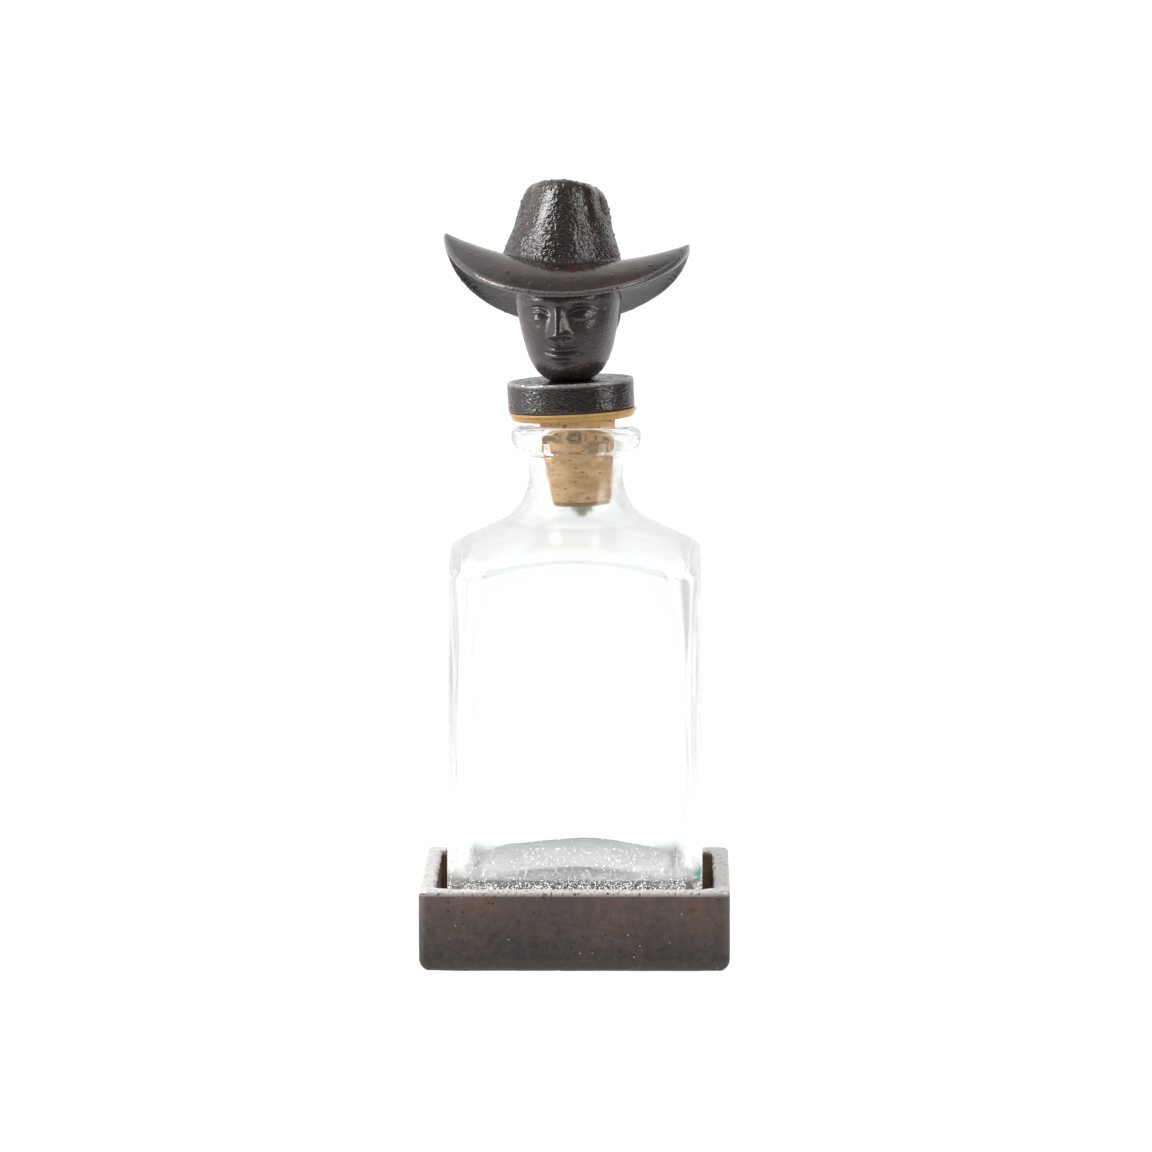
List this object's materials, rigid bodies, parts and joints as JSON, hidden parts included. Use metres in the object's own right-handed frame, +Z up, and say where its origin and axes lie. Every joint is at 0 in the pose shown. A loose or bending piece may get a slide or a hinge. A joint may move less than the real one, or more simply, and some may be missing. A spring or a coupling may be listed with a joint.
{
  "type": "figural decanter",
  "caption": "Square glass decanter standing in a cast tray, with a cork stopper that carries a cast head in a wide-brimmed hat.",
  "frame": {"origin": "centre of the tray's flat underside, where the whole stands on a table", "axes": "+Z up along the bottle, +X to the right as seen from the front, +Y to the back, so the face looks along -Y and is turned 9 degrees to the viewer's left"},
  "size_m": [0.115, 0.115, 0.291],
  "materials": {
    "tray_iron": "satin brown-black patina",
    "figure_iron": "semi-gloss brown-black patina, pitted",
    "clear_glass": "clear, faint green-grey, small bubbles",
    "amber_seal": "translucent amber, satin",
    "cork": "natural cork with dark pores",
    "steel": "plain zinc-grey"
  },
  "bodies": {
    "tray": {"base_tray": "tray_iron"},
    "bottle": {"glass_bottle": "clear_glass"},
    "seal_ring": {"seal_ring": "amber_seal"},
    "stopper": {"stopper_cap": "figure_iron", "figure_head": "figure_iron", "figure_hat": "figure_iron", "hat_dowel": "steel", "tie_stud": "steel", "stud_nut": "steel", "cork_plug": "cork", "end_disc": "amber_seal"}
  },
  "joints": [
    {"name": "bottle_lift", "type": "slide", "parent": "tray", "child": "bottle", "axis": [0, 0, 1], "range_m": [0, 0.06]},
    {"name": "stopper_lift", "type": "slide", "parent": "bottle", "child": "seal_ring", "axis": [0, 0, 1], "range_m": [0, 0.06]},
    {"name": "stopper_twist", "type": "hinge", "parent": "seal_ring", "child": "stopper", "pos_m": [0.0012, 0, 0.1847], "axis": [-0.0488, 0, 0.9988], "continuous": true}
  ]
}
